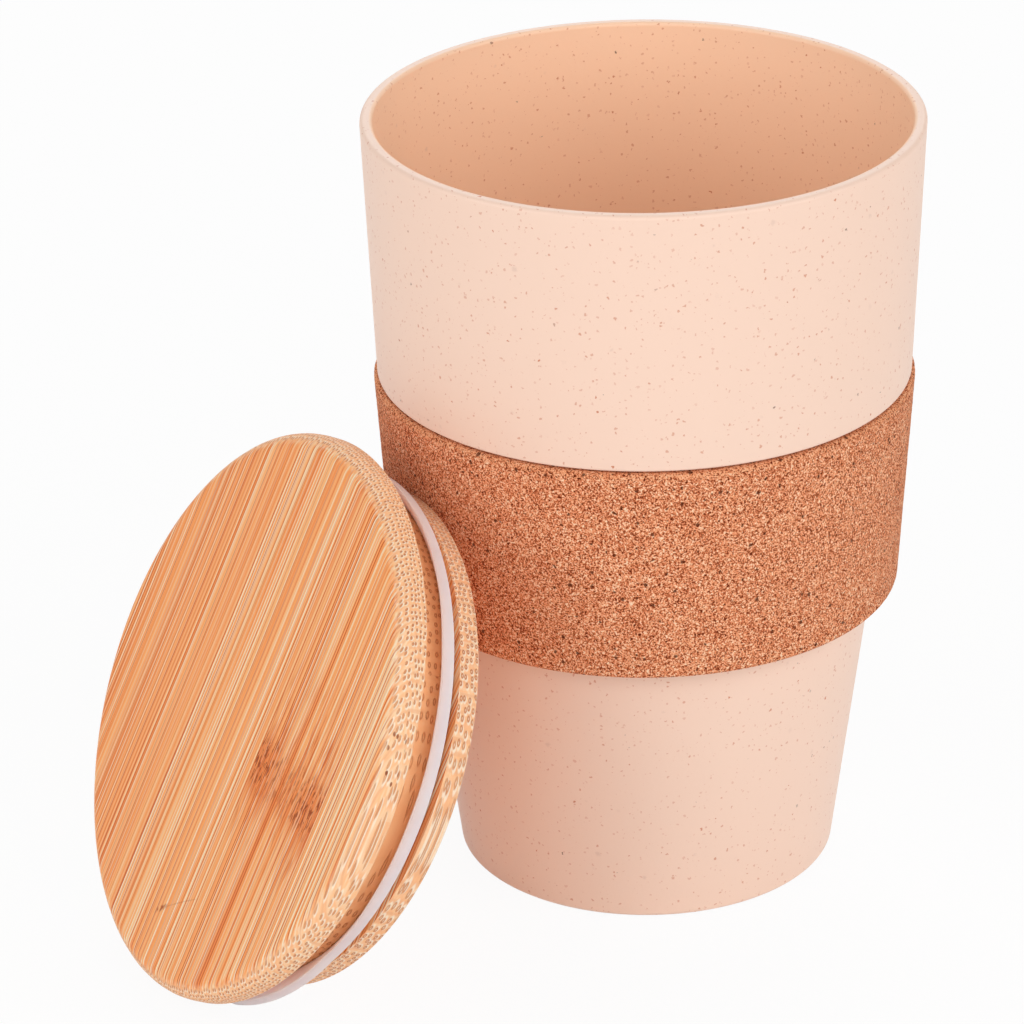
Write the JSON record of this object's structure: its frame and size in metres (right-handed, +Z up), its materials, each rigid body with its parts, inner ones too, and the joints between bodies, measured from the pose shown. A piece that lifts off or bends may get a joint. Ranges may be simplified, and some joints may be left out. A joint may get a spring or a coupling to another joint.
{
  "type": "travel mug",
  "caption": "Handleless tapered cup of speckled plastic with a cork grip sleeve; its push-in bamboo lid with a silicone seal is off and leans on the sleeve.",
  "frame": {"origin": "centre of the cup's flat foot, on the cup's axis at the table", "axes": "+Z up the cup's axis, -Y towards the viewer, and the lid leans on the cup from -X and -Y"},
  "size_m": [0.1391, 0.1317, 0.1315],
  "materials": {
    "speckled_plastic": "satin, with fine brown specks",
    "cork": "matt agglomerated cork",
    "bamboo": "sanded and oiled",
    "silicone": "matt"
  },
  "bodies": {
    "cup": {"cup_body": "speckled_plastic"},
    "sleeve": {"cork_sleeve": "cork"},
    "lid": {"lid_face_strip_1": "bamboo", "lid_face_strip_2": "bamboo", "lid_face_strip_3": "bamboo", "lid_face_strip_4": "bamboo", "lid_face_strip_5": "bamboo", "lid_plug_strip_1": "bamboo", "lid_plug_strip_2": "bamboo", "lid_plug_strip_3": "bamboo", "lid_plug_strip_4": "bamboo"},
    "seal": {"seal_ring": "silicone"}
  },
  "joints": [
    {"name": "sleeve_turn", "type": "hinge", "parent": "cup", "child": "sleeve", "pos_m": [0, 0, 0.0687], "axis": [0, 0, 1], "continuous": true},
    {"name": "lid_lift", "type": "slide", "parent": "cup", "child": "lid", "axis": [-0.7957, -0.4151, 0.441], "range_m": [0, 0.12]},
    {"name": "seal_turn", "type": "hinge", "parent": "lid", "child": "seal", "pos_m": [-0.05619, -0.03896, 0.03989], "axis": [-0.7957, -0.4151, 0.441], "continuous": true}
  ]
}
